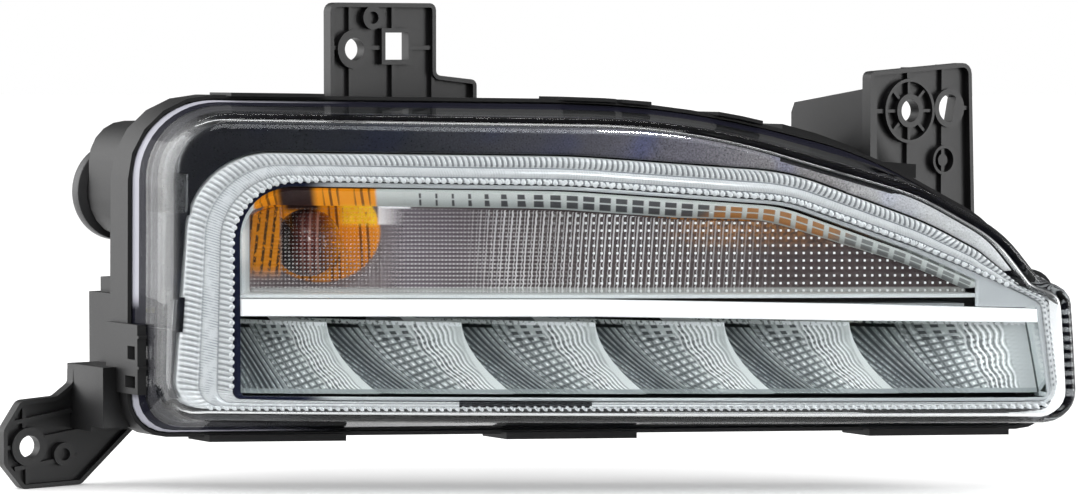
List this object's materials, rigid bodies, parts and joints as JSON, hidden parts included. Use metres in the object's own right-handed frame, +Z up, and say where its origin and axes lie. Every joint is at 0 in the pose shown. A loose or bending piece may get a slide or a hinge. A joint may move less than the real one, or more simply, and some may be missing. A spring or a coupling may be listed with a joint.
{
  "type": "vehicle indicator lamp",
  "caption": "Front bumper lamp: amber indicator chamber above a row of swept daytime cells, ribbed light guide ring, clear wrap-round lens and bracketed black housing.",
  "frame": {"origin": "middle of the wall of the lower outboard bracket's bore", "axes": "+X along the lamp towards its inboard tip, +Y back from the lens face, +Z up"},
  "size_m": [0.4169, 0.1044, 0.1897],
  "materials": {
    "housing": "fine grained black moulding",
    "clear": "clear polycarbonate, hard coated",
    "sealant": "cured sealing bead",
    "bezel": "satin metallised dark grey",
    "guide": "clear ribbed light guide",
    "chrome": "vacuum metallised bright",
    "bar": "bright white bar",
    "reflector": "vacuum metallised facets",
    "board": "solder-masked circuit board",
    "olive_board": "solder-masked circuit board",
    "led": "phosphor-coated light source",
    "amber": "amber bulb glass",
    "brass": "plain",
    "holder": "heat-resistant moulding",
    "seal": "silicone",
    "cap": "fine grained moulding",
    "sink": "raw die cast",
    "gasket": "die cut",
    "screw": "zinc plated",
    "pins": "tinned"
  },
  "bodies": {
    "root": {"rear_housing": "housing", "outer_lens": "clear", "lens_seal": "sealant", "bezel": "bezel", "light_guide": "guide", "chrome_frame": "chrome", "divider_bar": "bar", "indicator_inner_lens": "clear", "indicator_reflector": "reflector", "drl_reflector": "reflector", "led_board": "board", "leds": "led", "guide_board": "olive_board", "guide_led": "led", "bulb_glass": "amber", "bulb_base": "brass", "bulb_contact": "brass", "bulb_holder": "holder", "holder_seal": "seal", "turret_cap": "cap", "cap_seal": "seal", "heat_sink": "sink", "heat_sink_seal": "gasket", "heat_sink_screws": "screw", "lamp_connector": "holder", "connector_pins": "pins", "vent_cap": "cap"}
  },
  "joints": []
}
